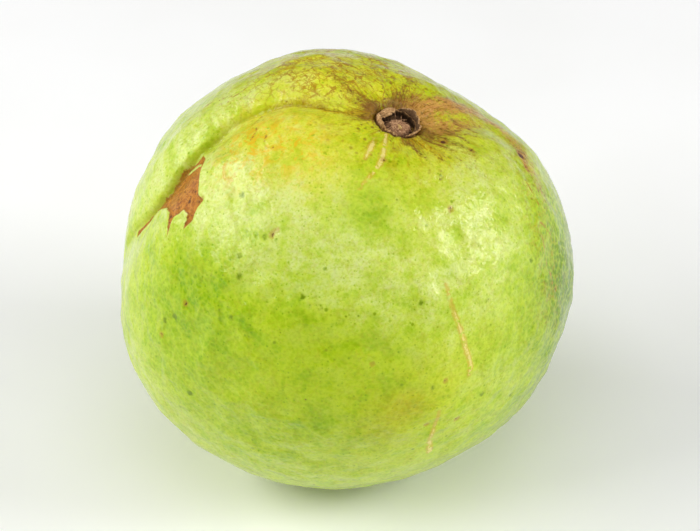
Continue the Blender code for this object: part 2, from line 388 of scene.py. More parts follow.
# %% Distances to the marks
towards = unit(points_of(skin) - CENTRE)
from_calyx = distance_from(CALYX_AXIS, towards)
from_stem = distance_from(STEM_AXIS, towards)
from_fold, along_fold = along_line(LONG_FOLD, towards)
FAR = 50.0  # in mm: further than any mark reaches


def outline_distance(outline, up, towards):
    """The distance to a closed outline round the direction up, in mm, negative inside it."""
    right = unit(np.cross((0.0, 0.0, 1.0), up))
    flat = np.array((right, np.cross(up, right)))
    spots = (towards @ flat.T) * SKIN_RADIUS_MM
    corners = np.array([flat @ direction(*p) for p in outline]) * SKIN_RADIUS_MM
    nearest = np.full(len(spots), FAR)
    inside = np.zeros(len(spots), bool)
    for a, b in zip(corners, np.roll(corners, -1, axis=0)):
        part = np.clip((spots - a) @ (b - a) / ((b - a) @ (b - a)), 0, 1)
        nearest = np.minimum(nearest, np.linalg.norm(spots - a - part[:, None] * (b - a), axis=1))
        crosses = (a[1] > spots[:, 1]) != (b[1] > spots[:, 1])
        reach = (b[0] - a[0]) * (spots[:, 1] - a[1]) / (b[1] - a[1] + 1e-12) + a[0]
        inside ^= crosses & (spots[:, 0] < reach)
    return np.where(inside, -nearest, nearest)


same_side = towards @ SCAR_AXIS > 0.5
from_scar = np.where(same_side, outline_distance(SCAR_OUTLINE, SCAR_AXIS, towards), FAR)

LIVE_SLIVER = ((-77, 40), (-75, 43.5), (-72, 45.6))  # a wedge of green skin inside the scar
sliver_apart, sliver_share = along_line(LIVE_SLIVER, towards)
sliver_width = np.interp(sliver_share, (0, 0.6, 1), (0.1, 0.75, 0.3))
from_scar = np.maximum(from_scar, sliver_width - np.abs(sliver_apart))

# %% Scratches: a line, and how wide it is at its start, its middle and its end, in mm
SCRATCHES = {
    "long_scratch": (((28, 28.5), (28.5, 22.5), (30, 15.5), (31, 9.5), (32, 5.5), (31.5, 2.5)),
                     (0.10, 0.38, 0.38)),
    "low_scratch": (((23, -6.5), (22.3, -12.5), (21.8, -18.5), (23, -24.5)), (0.08, 0.28, 0.55)),
    "calyx_mark_right": (((34, 72.5), (24, 67.5), (18, 63.5), (10, 59.5), (4, 56)),
                         (0.35, 0.5, 0.12)),
    "calyx_mark_left": (((22, 72), (15, 68.5), (9, 65)), (0.3, 0.55, 0.2)),
    "small_curl": (((-60, 52), (-58, 50), (-54.5, 48.8), (-51.5, 49.6), (-52.5, 51)),
                   (0.08, 0.2, 0.08)),
}
from_scratch = np.full(len(towards), FAR)
for line, widths in SCRATCHES.values():
    apart, share = along_line(line, towards)
    width = np.interp(share, (0, 0.5, 1), widths)
    from_scratch = np.minimum(from_scratch, np.abs(apart) - width)

# %% Fine cracks that have healed brown
CRACKS = (((76, 37), (74, 32), (70, 27.5), (67, 23), (66, 17), (66, 10)),
          ((70, 27.5), (72, 22), (70, 17)),
          ((-120, 72), (-113, 67), (-105, 62), (-101, 60), (-102, 55)),
          ((-99, 64), (-101, 60), (-97, 57)),
          ((-104, 53), (-99, 46), (-99, 42)),
          ((-80, 66), (-72, 62), (-66, 63), (-60, 60)),
          ((-56, 64), (-50, 61), (-45, 62)))
from_crack = np.full(len(towards), FAR)
for line in CRACKS:
    from_crack = np.minimum(from_crack, np.abs(along_line(line, towards)[0]))

# %% Spots that are large enough to be pits: longitude, latitude, radius in mm
BROWN_SPOTS = ((-77.2, 32.2, 0.5), (-59.5, 39.6, 0.4), (-71.7, 38.8, 0.42), (-64, 34, 0.32),
               (-58.2, 41, 0.3), (39, 45.5, 0.55), (-27, 41.5, 0.5), (-25.8, 43, 0.42),
               (-47.7, 16, 0.5), (29, -12.3, 0.5), (20, -10.8, 0.4), (5.7, 11, 0.4), (24.5, 3, 0.4),
               (89.5, 38.8, 0.95), (84, 37.2, 0.6), (20.3, 64, 0.5), (66, 61, 0.7),
               (69.5, 53.8, 0.55), (-92, 14.6, 0.45), (67, 9, 0.45), (-53.7, 4, 0.4),
               (128, 12, 0.6), (160, 35, 0.5), (-150, 8, 0.7), (-128, -14, 0.45),
               (175, -22, 0.6), (110, -18, 0.5), (-165, 42, 0.5))
GREEN_SPOTS = ((-50.5, 10.8, 0.65), (-53.8, 8, 0.6), (-35, 34, 0.6), (-33.3, 29, 0.6),
               (-33, 18, 0.6), (-36.5, 18.7, 0.4), (-36, 16.6, 0.4), (-13.5, 28, 0.6),
               (-8.3, 25.8, 0.5), (-10, 28, 0.4), (-44, 47.7, 0.6), (-29, 40.5, 0.5),
               (-31.7, 40, 0.45), (20, 25.6, 0.55), (39.5, 20.4, 0.4), (59, 22.3, 0.5),
               (-44, -9, 0.7), (-5, 15.5, 0.45), (36, -6.6, 0.5), (48, -14, 0.5), (21, 2, 0.45),
               (140, -2, 0.7), (-140, 22, 0.6), (100, 6, 0.6), (-100, -20, 0.6),
               (-175, 14, 0.7), (150, 50, 0.5))


def from_spots(spots, towards):
    apart = [distance_from(direction(lon, lat), towards) - radius for lon, lat, radius in spots]
    return np.min(apart, axis=0)


from_brown = from_spots(BROWN_SPOTS, towards)
from_green = from_spots(GREEN_SPOTS, towards) - 0.08  # a little larger than their pits

# %% Turns round the calyx, for what runs out of it like spokes
CALYX_RIGHT = unit(np.array((1.0, 0, 0)) - CALYX_AXIS * CALYX_AXIS[0])
CALYX_BACK = np.cross(CALYX_AXIS, CALYX_RIGHT)
calyx_turn = np.arctan2(towards @ CALYX_BACK, towards @ CALYX_RIGHT)


def spokes(turn, counts, seed):
    """A wave round the calyx that is made of a few even ones, each with its own start."""
    rng = np.random.default_rng(seed)
    return sum(np.cos(count * turn + rng.uniform(0, 2 * pi)) for count in counts) / len(counts)


# %% Add up the heights, all in mm
ROLL_HEIGHT, TUCK_DEPTH, CREASE_DEPTH = 1.35, 0.7, 0.3
PLEAT_HEIGHT, FINE_PLEAT_HEIGHT, STEM_PLEAT_HEIGHT = 0.42, 0.16, 0.20
SCAR_DEPTH, SCAR_LIP_HEIGHT, SCRATCH_HEIGHT = 0.28, 0.16, 0.14
BROWN_PIT_DEPTH, GREEN_PIT_DEPTH = 0.20, 0.10

fold_ends = fade(along_fold, 0.03, 0.25) * fade(1 - along_fold, 0.0, 0.4)
rounding = np.clip(-from_fold / 4.5, 0, 1)
roll = np.sqrt(1 - (1 - rounding) ** 2) * bump(np.minimum(from_fold + 4.5, 0), 7.5)
roll *= 0.55 + 0.45 * fade(along_fold, 0.35, 0.6)
tucked_in = fade(from_fold, -0.9, 0.1) * bump(np.maximum(from_fold, 0), 4.5, 1.4)
crease = bump(from_fold, 0.6)

pleat_reach = bump(from_calyx, 13, 2.2) * fade(from_calyx, 3.8, 5.5)
pleats = spokes(calyx_turn, (7, 11, 16), 4) * pleat_reach
fine_pleats = spokes(calyx_turn, (23, 31, 43), 9) * bump(from_calyx, 9, 2.5)
fine_pleats *= fade(from_calyx, 3.8, 5)
stem_pleats = bump(from_stem, 9, 2.2) * fade(from_stem, 3, 5)

height = (fold_ends * (ROLL_HEIGHT * roll - TUCK_DEPTH * tucked_in - CREASE_DEPTH * crease)
          + PLEAT_HEIGHT * pleats + FINE_PLEAT_HEIGHT * fine_pleats
          - SCAR_DEPTH * fade(-from_scar, -0.15, 0.35)
          + SCAR_LIP_HEIGHT * bump(from_scar - 0.35, 0.5)
          + SCRATCH_HEIGHT * fade(-from_scratch, -0.15, 0.3)
          - BROWN_PIT_DEPTH * fade(-from_brown, -0.5, 0.4)
          - GREEN_PIT_DEPTH * fade(-from_green, -0.5, 0.5)
          + STEM_PLEAT_HEIGHT * stem_pleats * spokes(calyx_turn, (6, 9, 14), 7))
points = points_of(skin) + towards * (height * MM)[:, None]

# %% [markdown]
# The skin grows right up to the dry rim, so it is raised to a collar there. Underneath, the
# flat spot that the fruit rests on is pressed flat again.

# %% A collar round the calyx, and the flat spot
COLLAR_REACH_MM = 5.2  # the middle of the collar, just outside the dry rim
COLLAR_HEIGHT = 0.9 * MM


def press_flat(points):
    points[:, 2] = np.maximum(points[:, 2], 0)
    move_points(skin, points)


collar = bump(from_calyx - COLLAR_REACH_MM, 1.3)
press_flat(points + CALYX_AXIS * (COLLAR_HEIGHT * collar)[:, None])
modify(skin, "SMOOTH", factor=0.3, iterations=1)
press_flat(points_of(skin))
settle(skin)
print("the skin now measures", (np.ptp(points_of(skin), axis=0) / MM).round(1), "mm")

# %% [markdown]
# ## Colour by soft dabs
#
# A ripening guava is deep green in places, lime elsewhere, yellow where it ripens first and
# brown where the flower's rim has stained it. This is painted as a painter would: a ground
# colour, then soft dabs, each with a place, a reach and a strength. Some dabs are painted light
# and shade: pale haze where the gloss falls on the upper skin, a pale band on the crest of the
# fold's roll, a darker tint in its crease and dark green shade on the right side. The fine
# detail comes later, from the material.

# %% Colours as they look on a screen
def seen(red, green, blue):
    """Turns a colour as seen, 0 to 255, to the linear light that Blender works in."""
    share = np.array((red, green, blue)) / 255
    return np.where(share <= 0.04045, share / 12.92, ((share + 0.055) / 1.055) ** 2.4)


LIME = seen(188, 210, 0)
PALE_LIME_AND_SHEEN = seen(218, 230, 146)
FRESH_GREEN = seen(166, 197, 0)
DEEP_GREEN = seen(146, 180, 0)
PAINTED_SHADE_GREEN = seen(80, 122, 0)
YELLOW_LIME = seen(212, 214, 20)
RIPE_OLIVE = seen(214, 204, 24)
STRAW = seen(236, 222, 76)
OLIVE = seen(192, 184, 8)
OCHRE = seen(188, 150, 20)
RUSTY_TAN = seen(208, 146, 80)
BARK_BROWN = seen(134, 80, 40)

# %% The dabs: longitude, latitude, reach in mm, colour, strength
DABS = (
    (-65, -5, 17, PALE_LIME_AND_SHEEN, 0.30),
    (-50, -32, 16, PALE_LIME_AND_SHEEN, 0.30),
    (0, -45, 20, PALE_LIME_AND_SHEEN, 0.15),
    (-88, 30, 11, PALE_LIME_AND_SHEEN, 0.30),
    # Painted highlight: the pale dabs from here to (76, 42) lie where the softboxes' gloss falls on
    # the upper skin; they are partly paler skin and partly painted highlight haze.
    (-105, 55, 12, PALE_LIME_AND_SHEEN, 0.40),
    (-58, 46, 12, PALE_LIME_AND_SHEEN, 0.80),
    (-42, 38, 11, PALE_LIME_AND_SHEEN, 0.45),
    (-26, 50, 12, PALE_LIME_AND_SHEEN, 0.60),
    (-4, 42, 11, PALE_LIME_AND_SHEEN, 0.50),
    (14, 32, 9, PALE_LIME_AND_SHEEN, 0.60),
    (36, 37, 10, PALE_LIME_AND_SHEEN, 0.85),
    (47, 30, 8, PALE_LIME_AND_SHEEN, 0.75),
    (56, 50, 10, PALE_LIME_AND_SHEEN, 0.50),
    (76, 42, 9, PALE_LIME_AND_SHEEN, 0.50),
    (26, 18, 8, PALE_LIME_AND_SHEEN, 0.35),
    (24, 4, 9, YELLOW_LIME, 0.45),
    (30, 44, 12, YELLOW_LIME, 0.30),
    (-38, 20, 9, FRESH_GREEN, 0.90),
    (-50, 17, 10, FRESH_GREEN, 0.90),
    (-58, 4, 12, FRESH_GREEN, 0.60),
    (-46, 12, 8, DEEP_GREEN, 0.70),
    (-47, 24, 6, DEEP_GREEN, 0.80),
    (-44, -2, 8, DEEP_GREEN, 0.55),
    (-42, -16, 9, FRESH_GREEN, 0.60),
    (-20, -29, 13, FRESH_GREEN, 0.50),
    (-24, -8, 9, DEEP_GREEN, 0.30),
    (-10, 8, 11, FRESH_GREEN, 0.45),
    (-12, 22, 7, FRESH_GREEN, 0.25),
    (4, 52, 7, FRESH_GREEN, 0.80),
    (-33, 41, 6, FRESH_GREEN, 0.50),
    (16, 21, 6, FRESH_GREEN, 0.40),
    (12, 6, 9, FRESH_GREEN, 0.15),
    (56, 14, 15, FRESH_GREEN, 0.45),
    (44, -6, 12, PALE_LIME_AND_SHEEN, 0.22),
    (78, 20, 9, FRESH_GREEN, 0.70),
    (75, -25, 18, DEEP_GREEN, 0.55),
    (-20, 62, 8, STRAW, 0.60),
    (-60, 62, 8, STRAW, 0.75),
    (-40, 70, 8, STRAW, 0.70),
    (-75, 68, 5, STRAW, 0.60),
    (-130, 70, 12, YELLOW_LIME, 0.60),
    (-150, 82, 12, STRAW, 0.85),
    (150, 60, 9, STRAW, 0.45),
    (88, 48, 10, YELLOW_LIME, 0.60),
    (50, 62, 8, OLIVE, 0.45),
    (12, -2, 4, OLIVE, 0.60),
    (16, -3, 3, OCHRE, 0.40),
    (8, -10, 5, OLIVE, 0.45),
    # Painted shade: these two dabs darken the right side of the fruit in dark green.
    (94, -4, 27, PAINTED_SHADE_GREEN, 0.95),
    (74, 6, 11, PAINTED_SHADE_GREEN, 0.80),
    (160, -10, 20, FRESH_GREEN, 0.50),
    (-160, -20, 18, PALE_LIME_AND_SHEEN, 0.35),
    (-170, 30, 14, YELLOW_LIME, 0.40),
    (120, 20, 14, YELLOW_LIME, 0.35),
    (-120, -10, 14, FRESH_GREEN, 0.50),
    (60, -75, 20, FRESH_GREEN, 0.40),
)

# %% Paint the skin
def paint(tint, colour, share):
    """Lays a colour over those before it, as strongly as its share says at each vertex."""
    tint += (colour - tint) * share[:, None]


tint = np.tile(LIME, (len(towards), 1))
for longitude, latitude, reach, colour, strength in DABS:
    apart = distance_from(direction(longitude, latitude), towards)
    paint(tint, colour, strength * bump(apart, reach))

paint(tint, RIPE_OLIVE, 0.75 * bump(from_calyx, 14, 2.5))
# Painted shade: a deeper, more saturated tint along the crease under the roll, where shade falls;
# yellow nearer the calyx and lime further down.
crease_shade = bump(from_fold + 0.3, 0.9) * fade(1 - along_fold, 0.05, 0.3)
green_side = fade(along_fold, 0.42, 0.55)[:, None]
crease_shade_colour = YELLOW_LIME * (1 - green_side) + LIME * green_side
paint(tint, crease_shade_colour, 0.6 * crease_shade * fade(along_fold, 0.05, 0.15))
# Painted highlight: a pale band along the crest of the roll, where the gloss falls.
paint(tint, PALE_LIME_AND_SHEEN, 0.7 * bump(from_fold + 3.6, 2.4) * bump(along_fold - 0.6, 0.24))
write_colour(skin, "tint", tint)

# %% [markdown]
# Round the calyx and along the creases the skin is stained: brown where the flower has rotted
# and rain has run, tan in the shallow valley on the right. A stain is a stroke along a line over
# the skin, with a width and a strength at each end. Stains lie over the fine mottling, so they
# are kept apart from the ground colour: one colour and one share for each vertex.

# %% Stains: a line, widths in mm, colour, strengths
VALLEY = ((84, 73), (97, 68), (104, 60.6), (107, 54), (107, 48), (101, 43), (94, 38.6), (85, 35),
          (78, 29))
STAINS = (
    (VALLEY, (3.3, 1.8), RUSTY_TAN, (1.0, 0.35)),
    (((80, 70), (82, 63), (90, 57), (98, 51)), (3.2, 2.0), RUSTY_TAN, (0.85, 0.35)),
    (((66, 75), (90, 73), (104, 71)), (3.4, 2.0), BARK_BROWN, (0.9, 0.5)),
    (((66, 77), (90, 89), (-140, 86), (-135, 80), (-137, 74), (-142, 69)), (2.2, 0.8), BARK_BROWN,
     (0.6, 0.2)),
    (((50, 79), (30, 82), (8, 79), (-8, 76)), (2.4, 1.6), BARK_BROWN, (0.8, 0.1)),
    (((66, 82.6), (50, 82), (33, 81)), (1.9, 1.6), BARK_BROWN, (0.9, 0.8)),
    (((66, 75), (30, 83), (-30, 81), (-74, 77), (-84, 68)), (1.4, 0.5), OCHRE, (0.9, 0.5)),
    (((60, 76), (44, 70), (50, 66)), (2.6, 1.6), BARK_BROWN, (0.6, 0.35)),
    (((74, 73), (72, 67), (68, 62)), (2.4, 1.4), BARK_BROWN, (0.7, 0.3)),
    (((91, 39), (86, 38), (82, 36.5)), (1.0, 0.6), RUSTY_TAN, (0.9, 0.6)),
    (((55, 62), (57, 57), (62, 52)), (3.0, 2.5), OCHRE, (0.35, 0.25)),
    (((66, 76), (110, 75), (125, 67), (129, 60)), (2.2, 1.0), BARK_BROWN, (0.7, 0.2)),
    (((64, 70), (67, 61), (69, 53)), (2.0, 1.2), BARK_BROWN, (0.55, 0.3)),
    (((72, 66), (80, 57), (84, 50)), (1.5, 0.9), BARK_BROWN, (0.5, 0.2)),
    (((52, 68), (54, 62), (50, 56)), (1.5, 0.9), OCHRE, (0.6, 0.3)),
    (((60, 66), (62, 58)), (0.7, 0.5), BARK_BROWN, (0.8, 0.5)),
    (((46, 67), (44, 60)), (0.7, 0.4), BARK_BROWN, (0.7, 0.4)),
    (((78, 62), (74, 55)), (0.8, 0.5), BARK_BROWN, (0.8, 0.5)),
    (((90, 60), (86, 53)), (0.7, 0.4), BARK_BROWN, (0.7, 0.4)),
)
shares, colours = [], []
for line, widths, colour, strengths in STAINS:
    apart, along = along_line(line, towards)
    width = np.interp(along, (0, 1), widths)
    shares.append(np.interp(along, (0, 1), strengths) * bump(apart, width))
    colours.append(colour)
shares.append(0.9 * bump(from_calyx, 6.0, 5))
colours.append(BARK_BROWN)
shares.append(0.8 * bump(from_stem, 6, 3))
colours.append(OCHRE)
shares = np.array(shares)
stain = 1 - np.prod(1 - shares, axis=0)
weights = shares ** 2 + 1e-9
write_colour(skin, "stain_tint", np.einsum("sv,sc->vc", weights / weights.sum(axis=0), colours))
write(skin, "stain", stain)

# %% Masks that the material reads
towards_net = distance_from(direction(-172, 75), towards)
behind = fade(-(towards @ direction(0, 0)), -0.25, 0.15) * bump(from_calyx, 34, 4)
right_edge = bump(along_line(((80, 40), (74, 31), (67, 22), (65, 8)), towards)[0], 5)
over_fold = bump(distance_from(direction(-58, 60), towards), 8)
yellow_patch = bump(distance_from(direction(-36, 65), towards), 6.5)
net = 0.12 + bump(towards_net, 13, 3) + 0.5 * behind + 0.25 * right_edge
LAYERS = {
    "streaks": np.clip(bump(from_calyx, 15, 2.6) + 0.7 * stain, 0, 1),
    "net": np.clip(net, 0, 1),
    "ripe_net": np.maximum(over_fold, 0.9 * yellow_patch),
    "freckles": np.clip(bump(from_calyx, 17, 4) + 0.6 * right_edge + stain, 0, 1),
    "scar": from_scar,
    "scratch": from_scratch,
    "crack": from_crack,
    "brown_spot": from_brown,
    "green_spot": from_green,
    "fold": from_fold,
    "fold_depth": fold_ends * fade(along_fold, 0.0, 0.1),
}
for name, values in LAYERS.items():
    write(skin, name, values)
print("painted", len(DABS), "dabs and", len(skin.data.attributes), "layers")

# %% [markdown]
# ## A bench for materials
#
# Skin, dry leaf and bark all need the same few nodes: noise, cells, mixes and thresholds. This
# small class adds them to a material in one short call each, and a second one adds the patterns
# that are made of several nodes. The colour is built up in layers, each painted over those
# before it. Every pattern reads Object coordinates, so it stays on the piece and goes right
# through it like real flesh.

# %% The bench: numbers, colours and layers
class Bench:
    """One material and its nodes. A call returns the socket that gives its result."""

    def __init__(self, name, **settings):
        self.material = bpy.data.materials.new(name)
        self.material.use_nodes = True
        self.tree = self.material.node_tree
        self.shader = self.tree.nodes["Principled BSDF"]
        for socket, value in settings.items():
            self.shader.inputs[socket.replace("_", " ")].default_value = value
        self.here = self.node("TexCoord").outputs["Object"]
        self.colour = None  # the base colour so far

    def node(self, kind, sockets=(), **settings):
        made = self.tree.nodes.new("ShaderNode" + kind)
        for name, value in settings.items():
            setattr(made, name, value)
        for name, value in dict(sockets).items():
            self.fill(made.inputs[name], value)
        return made

    def fill(self, socket, value):
        if isinstance(value, bpy.types.NodeSocket):
            self.tree.links.new(value, socket)
        elif isinstance(value, np.ndarray) and socket.type == "RGBA":
            socket.default_value = (*value.tolist(), 1.0)
        else:
            socket.default_value = value

    def math(self, operation, *values):
        return self.node("Math", enumerate(values), operation=operation).outputs[0]

    def times(self, product, *others):
        for other in others:
            product = self.math("MULTIPLY", product, other)
        return product

    def swing(self, value, amount):
        """Makes noise swing about 0, by about this amount."""
        return self.times(self.math("SUBTRACT", value, 0.5), amount)

    def vector(self, operation, *values):
        result = 1 if operation in ("DOT_PRODUCT", "LENGTH") else 0
        return self.node("VectorMath", enumerate(values), operation=operation).outputs[result]

    def scaled(self, vector, by):
        return self.node("VectorMath", {0: vector, "Scale": by}, operation="SCALE").outputs[0]

    def mix(self, below, above, share, blend="MIX"):
        made = self.node("Mix", {"Factor": share}, data_type="RGBA", blend_type=blend)
        self.fill(made.inputs[6], below)
        self.fill(made.inputs[7], above)
        return made.outputs[2]

    def paint(self, colour, *shares, blend="MIX"):
        """Lays a colour over the base colour so far, by the product of its shares."""
        self.colour = self.mix(self.colour, colour, self.times(*shares), blend)

    def glaze(self, colour, *shares):
        """The same, but the colour multiplies what lies below it."""
        self.paint(colour, *shares, blend="MULTIPLY")

    def level(self, value, low, high, least=0.0, most=1.0):
        """Goes smoothly from least to most as the value goes from low to high."""
        sockets = {"Value": value, "From Min": low, "From Max": high, "To Min": least,
                   "To Max": most}
        return self.node("MapRange", sockets, interpolation_type="SMOOTHSTEP").outputs[0]

    def bumps(self, *layers):
        """Chains bumps, each given as (height, how high it is in metres)."""
        normal = None
        for height, distance in layers:
            sockets = {"Height": height, "Distance": distance}
            if normal:
                sockets["Normal"] = normal
            normal = self.node("Bump", sockets).outputs[0]
        self.finish("Normal", normal)
        self.finish("Coat Normal", normal)

    def finish(self, socket, value):
        self.fill(self.shader.inputs[socket], value)


# %% The patterns, all on Object coordinates
class Patterns(Bench):
    def noise(self, size, detail=2.0, rough=0.5, at=None, bend=0.0):
        """Soft noise with lumps of about this size, in metres."""
        sockets = {"Vector": at or self.here, "Scale": 1 / size, "Detail": detail,
                   "Roughness": rough, "Distortion": bend}
        return self.node("TexNoise", sockets).outputs["Fac"]

    def cells(self, size, at=None, feature="F1", output="Distance"):
        """Cells of about this size, in metres: the distance from each one's middle or edge."""
        sockets = {"Vector": at or self.here, "Scale": 1 / size}
        return self.node("TexVoronoi", sockets, feature=feature).outputs[output]

    def read(self, name, output="Fac"):
        """What the mesh keeps under this name at each vertex."""
        return self.node("Attribute", attribute_name=name).outputs[output]

    def round_axis(self, axis, foot):
        """How high each point is along an axis, and the vector from the axis out to it."""
        from_foot = self.vector("SUBTRACT", self.here, tuple(foot))
        height = self.vector("DOT_PRODUCT", from_foot, tuple(axis))
        return height, self.vector("SUBTRACT", from_foot, self.scaled(tuple(axis), height))

    def fibres(self, axis, height, size, rough, stretch):
        """Noise drawn out along an axis: the nearer the stretch is to 1, the longer."""
        drawn_out = self.scaled(tuple(axis), self.times(height, -stretch))
        return self.noise(size, 4, rough, self.vector("ADD", self.here, drawn_out))

    def shaken(self, size, amount, detail=2.0):
        """Object coordinates pushed about by noise, so that a pattern's lines wander."""
        sockets = {"Vector": self.here, "Scale": 1 / size, "Detail": detail}
        push = self.node("TexNoise", sockets).outputs["Color"]
        centred = self.vector("SUBTRACT", push, (0.5, 0.5, 0.5))
        return self.vector("ADD", self.here, self.scaled(centred, amount))


# %% What every finished piece needs
def finish_piece(piece, nodes, bench):
    """Gives a piece its material, its body and the plain nodes it stands for."""
    piece.data.materials.clear()
    piece.data.materials.append(bench.material)
    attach(piece, "root")
    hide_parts(*nodes)


# %% [markdown]
# ## The skin's material
#
# From the ground up: the painted dabs, with their painted haze and shade; patches a thumb wide;
# pale clouds, which also thicken the painted haze on the upper skin; fine mottling, where pale
# flesh shows round small green cells; dark pores; a net of fine russet cracks; brown streaks that
# run out of the calyx; the blemishes; and last a line of painted shade along the fold's crease.
# The blemishes come from distances kept on the mesh, and noise makes their edges ragged. The skin
# is waxy, so it has a satin gloss, which the dry places lose.

# %% Ground, patches and mottling
waxy = Patterns("guava_skin", Subsurface_Weight=0.12, Subsurface_Radius=(1.0, 1.0, 0.2),
                Subsurface_Scale=0.002, Specular_IOR_Level=0.22,
                Specular_Tint=(1.0, 1.0, 0.2, 1.0),
                Coat_Weight=0.85, Coat_Roughness=0.17, Coat_IOR=1.28)

CLOUD = seen(220, 231, 156)
GRANULE = seen(208, 224, 60)
waxy.colour = waxy.read("tint", "Color")
tint_parts = waxy.node("SeparateColor", {0: waxy.colour})
# The pale paint includes the painted highlight haze, so there the pale clouds add to that painted
# haze.
cloudiness_and_sheen = waxy.level(tint_parts.outputs[2], 0.0, 0.16, 0.1, 1.0)  # pale paint is cloudy
patches = waxy.noise(10 * MM, 3, 0.55, bend=0.5)
waxy.glaze(seen(204, 230, 20), waxy.level(patches, 0.5, 0.75, 0, 0.7))
clouds = waxy.noise(4.2 * MM, 5, 0.68, waxy.shaken(8 * MM, 4 * MM))
waxy.paint(CLOUD, waxy.level(clouds, 0.45, 0.66, 0, 0.75), cloudiness_and_sheen)
waxy.glaze(seen(206, 232, 0), waxy.level(clouds, 0.52, 0.34, 0, 0.6))
cells = waxy.cells(0.9 * MM, waxy.shaken(1.6 * MM, 0.9 * MM))
waxy.paint(GRANULE, waxy.level(cells, 0.3, 0.8, 0, 0.3))
waxy.glaze(seen(220, 236, 0), waxy.level(cells, 0.45, 0.0, 0, 0.42))
waxy.glaze(seen(214, 232, 60), waxy.level(waxy.noise(0.5 * MM, 2, 0.6), 0.45, 0.75, 0, 0.6))


# %% Pores and specks: small dark dots, of their own size in each cell
def dots(bench, spacing, smallest, largest, share, seed):
    """Dots in metres: about one in each cell, of which only a share is kept."""
    at = bench.vector("ADD", bench.here, (seed, seed, seed))
    chance = bench.node("SeparateColor", {0: bench.cells(spacing, at, output="Color")})
    radius = bench.level(chance.outputs[0], 0, 1, smallest / spacing, largest / spacing)
    sockets = {"Value": bench.cells(spacing, at), "From Min": radius,
               "From Max": bench.times(radius, 0.45)}
    dot = bench.node("MapRange", sockets).outputs[0]
    return bench.times(dot, bench.math("LESS_THAN", chance.outputs[1], share))


where_pores = waxy.level(waxy.noise(14 * MM, 1), 0.42, 0.6, 0.15, 1.0)
pores = dots(waxy, 2.3 * MM, 0.15 * MM, 0.46 * MM, 0.6, 0.31)
waxy.paint(seen(124, 154, 0), pores, where_pores, 0.85)
waxy.glaze(seen(188, 214, 50), dots(waxy, 1.0 * MM, 0.13 * MM, 0.27 * MM, 0.7, 5.1), 0.8)
waxy.paint(seen(122, 96, 34), dots(waxy, 7.5 * MM, 0.14 * MM, 0.34 * MM, 0.4, 1.7), 0.8)

# %% A net of russet cracks, and the netted yellow patches
crooked = waxy.shaken(1.7 * MM, 2.2 * MM, 4)
cracks = waxy.level(waxy.cells(2.2 * MM, crooked, "DISTANCE_TO_EDGE"), 0.11, 0.02)
broken = waxy.level(waxy.noise(2.4 * MM, 3, 0.65), 0.38, 0.58)
waxy.paint(seen(156, 104, 26), cracks, broken, waxy.read("net"), 0.8)
small_cracks = waxy.level(waxy.cells(1.1 * MM, crooked, "DISTANCE_TO_EDGE"), 0.14, 0.03)
patchy = waxy.level(waxy.noise(3.1 * MM, 2, 0.6), 0.42, 0.58)
waxy.paint(seen(176, 132, 30), small_cracks, patchy, waxy.read("net"), 0.7)
ripe = waxy.level(waxy.noise(1.8 * MM, 3, 0.65, waxy.shaken(4 * MM, 5 * MM)), 0.46, 0.62)
waxy.paint(seen(228, 182, 32), ripe, waxy.read("ripe_net"), 0.9)

# %% Streaks that run out of the calyx
SPOKE_COUNT = 9.0  # the higher, the narrower the streaks
SPOKE_BREAKS = 220.0  # the higher, the shorter the streaks
aside = waxy.round_axis(CALYX_AXIS, middle_of("calyx_ring"))[1]
spoke = waxy.scaled(waxy.vector("NORMALIZE", aside), SPOKE_COUNT)
along = waxy.scaled(tuple(CALYX_AXIS), waxy.times(waxy.vector("LENGTH", aside), SPOKE_BREAKS))
wander = waxy.node("TexNoise", {"Vector": waxy.here, "Scale": 1 / (3 * MM)}).outputs["Color"]
spoke_place = waxy.vector("ADD", waxy.vector("ADD", spoke, along), waxy.scaled(wander, 1.1))
streaks = waxy.noise(0.9, 4, 0.68, spoke_place)
waxy.paint(seen(168, 128, 14), waxy.level(streaks, 0.5, 0.62), waxy.read("streaks"), 0.7)
waxy.paint(seen(220, 208, 30), waxy.level(streaks, 0.44, 0.34), waxy.read("streaks"), 0.6)

# %% The stains, with ragged edges and dirt in them
fine_spokes = waxy.noise(0.42, 3, 0.7, spoke_place)
grit = waxy.swing(waxy.noise(0.5 * MM, 2, 0.6), 0.8)
smudge = waxy.swing(waxy.noise(1.3 * MM, 4, 0.7), 1.1)
ragged = waxy.math("ADD", waxy.math("ADD", waxy.swing(fine_spokes, 0.5), grit), smudge)
stained = waxy.level(waxy.math("ADD", waxy.read("stain"), ragged), 0.12, 0.85)
stained = waxy.times(stained, waxy.level(waxy.read("stain"), 0, 0.2))
stain_colour = waxy.mix(waxy.read("stain_tint", "Color"), seen(176, 140, 84),
                        waxy.level(fine_spokes, 0.5, 0.62, 0, 0.8), "MULTIPLY")
dirt = waxy.level(waxy.noise(0.55 * MM, 3, 0.65), 0.52, 0.66, 0, 0.7)
waxy.paint(waxy.mix(stain_colour, seen(124, 84, 56), dirt, "MULTIPLY"), stained, 0.86)
freckles = dots(waxy, 1.3 * MM, 0.14 * MM, 0.50 * MM, 0.7, 2.9)
waxy.paint(seen(120, 76, 24), freckles, waxy.read("freckles"), 0.75)

# %% The scar
shake = waxy.swing(waxy.noise(0.8 * MM, 3, 0.7), 0.55)


def ragged_edge(name, amount):
    """The distance to a mark, in mm, shaken so that the mark gets a ragged edge."""
    return waxy.math("ADD", waxy.read(name), waxy.times(shake, amount))


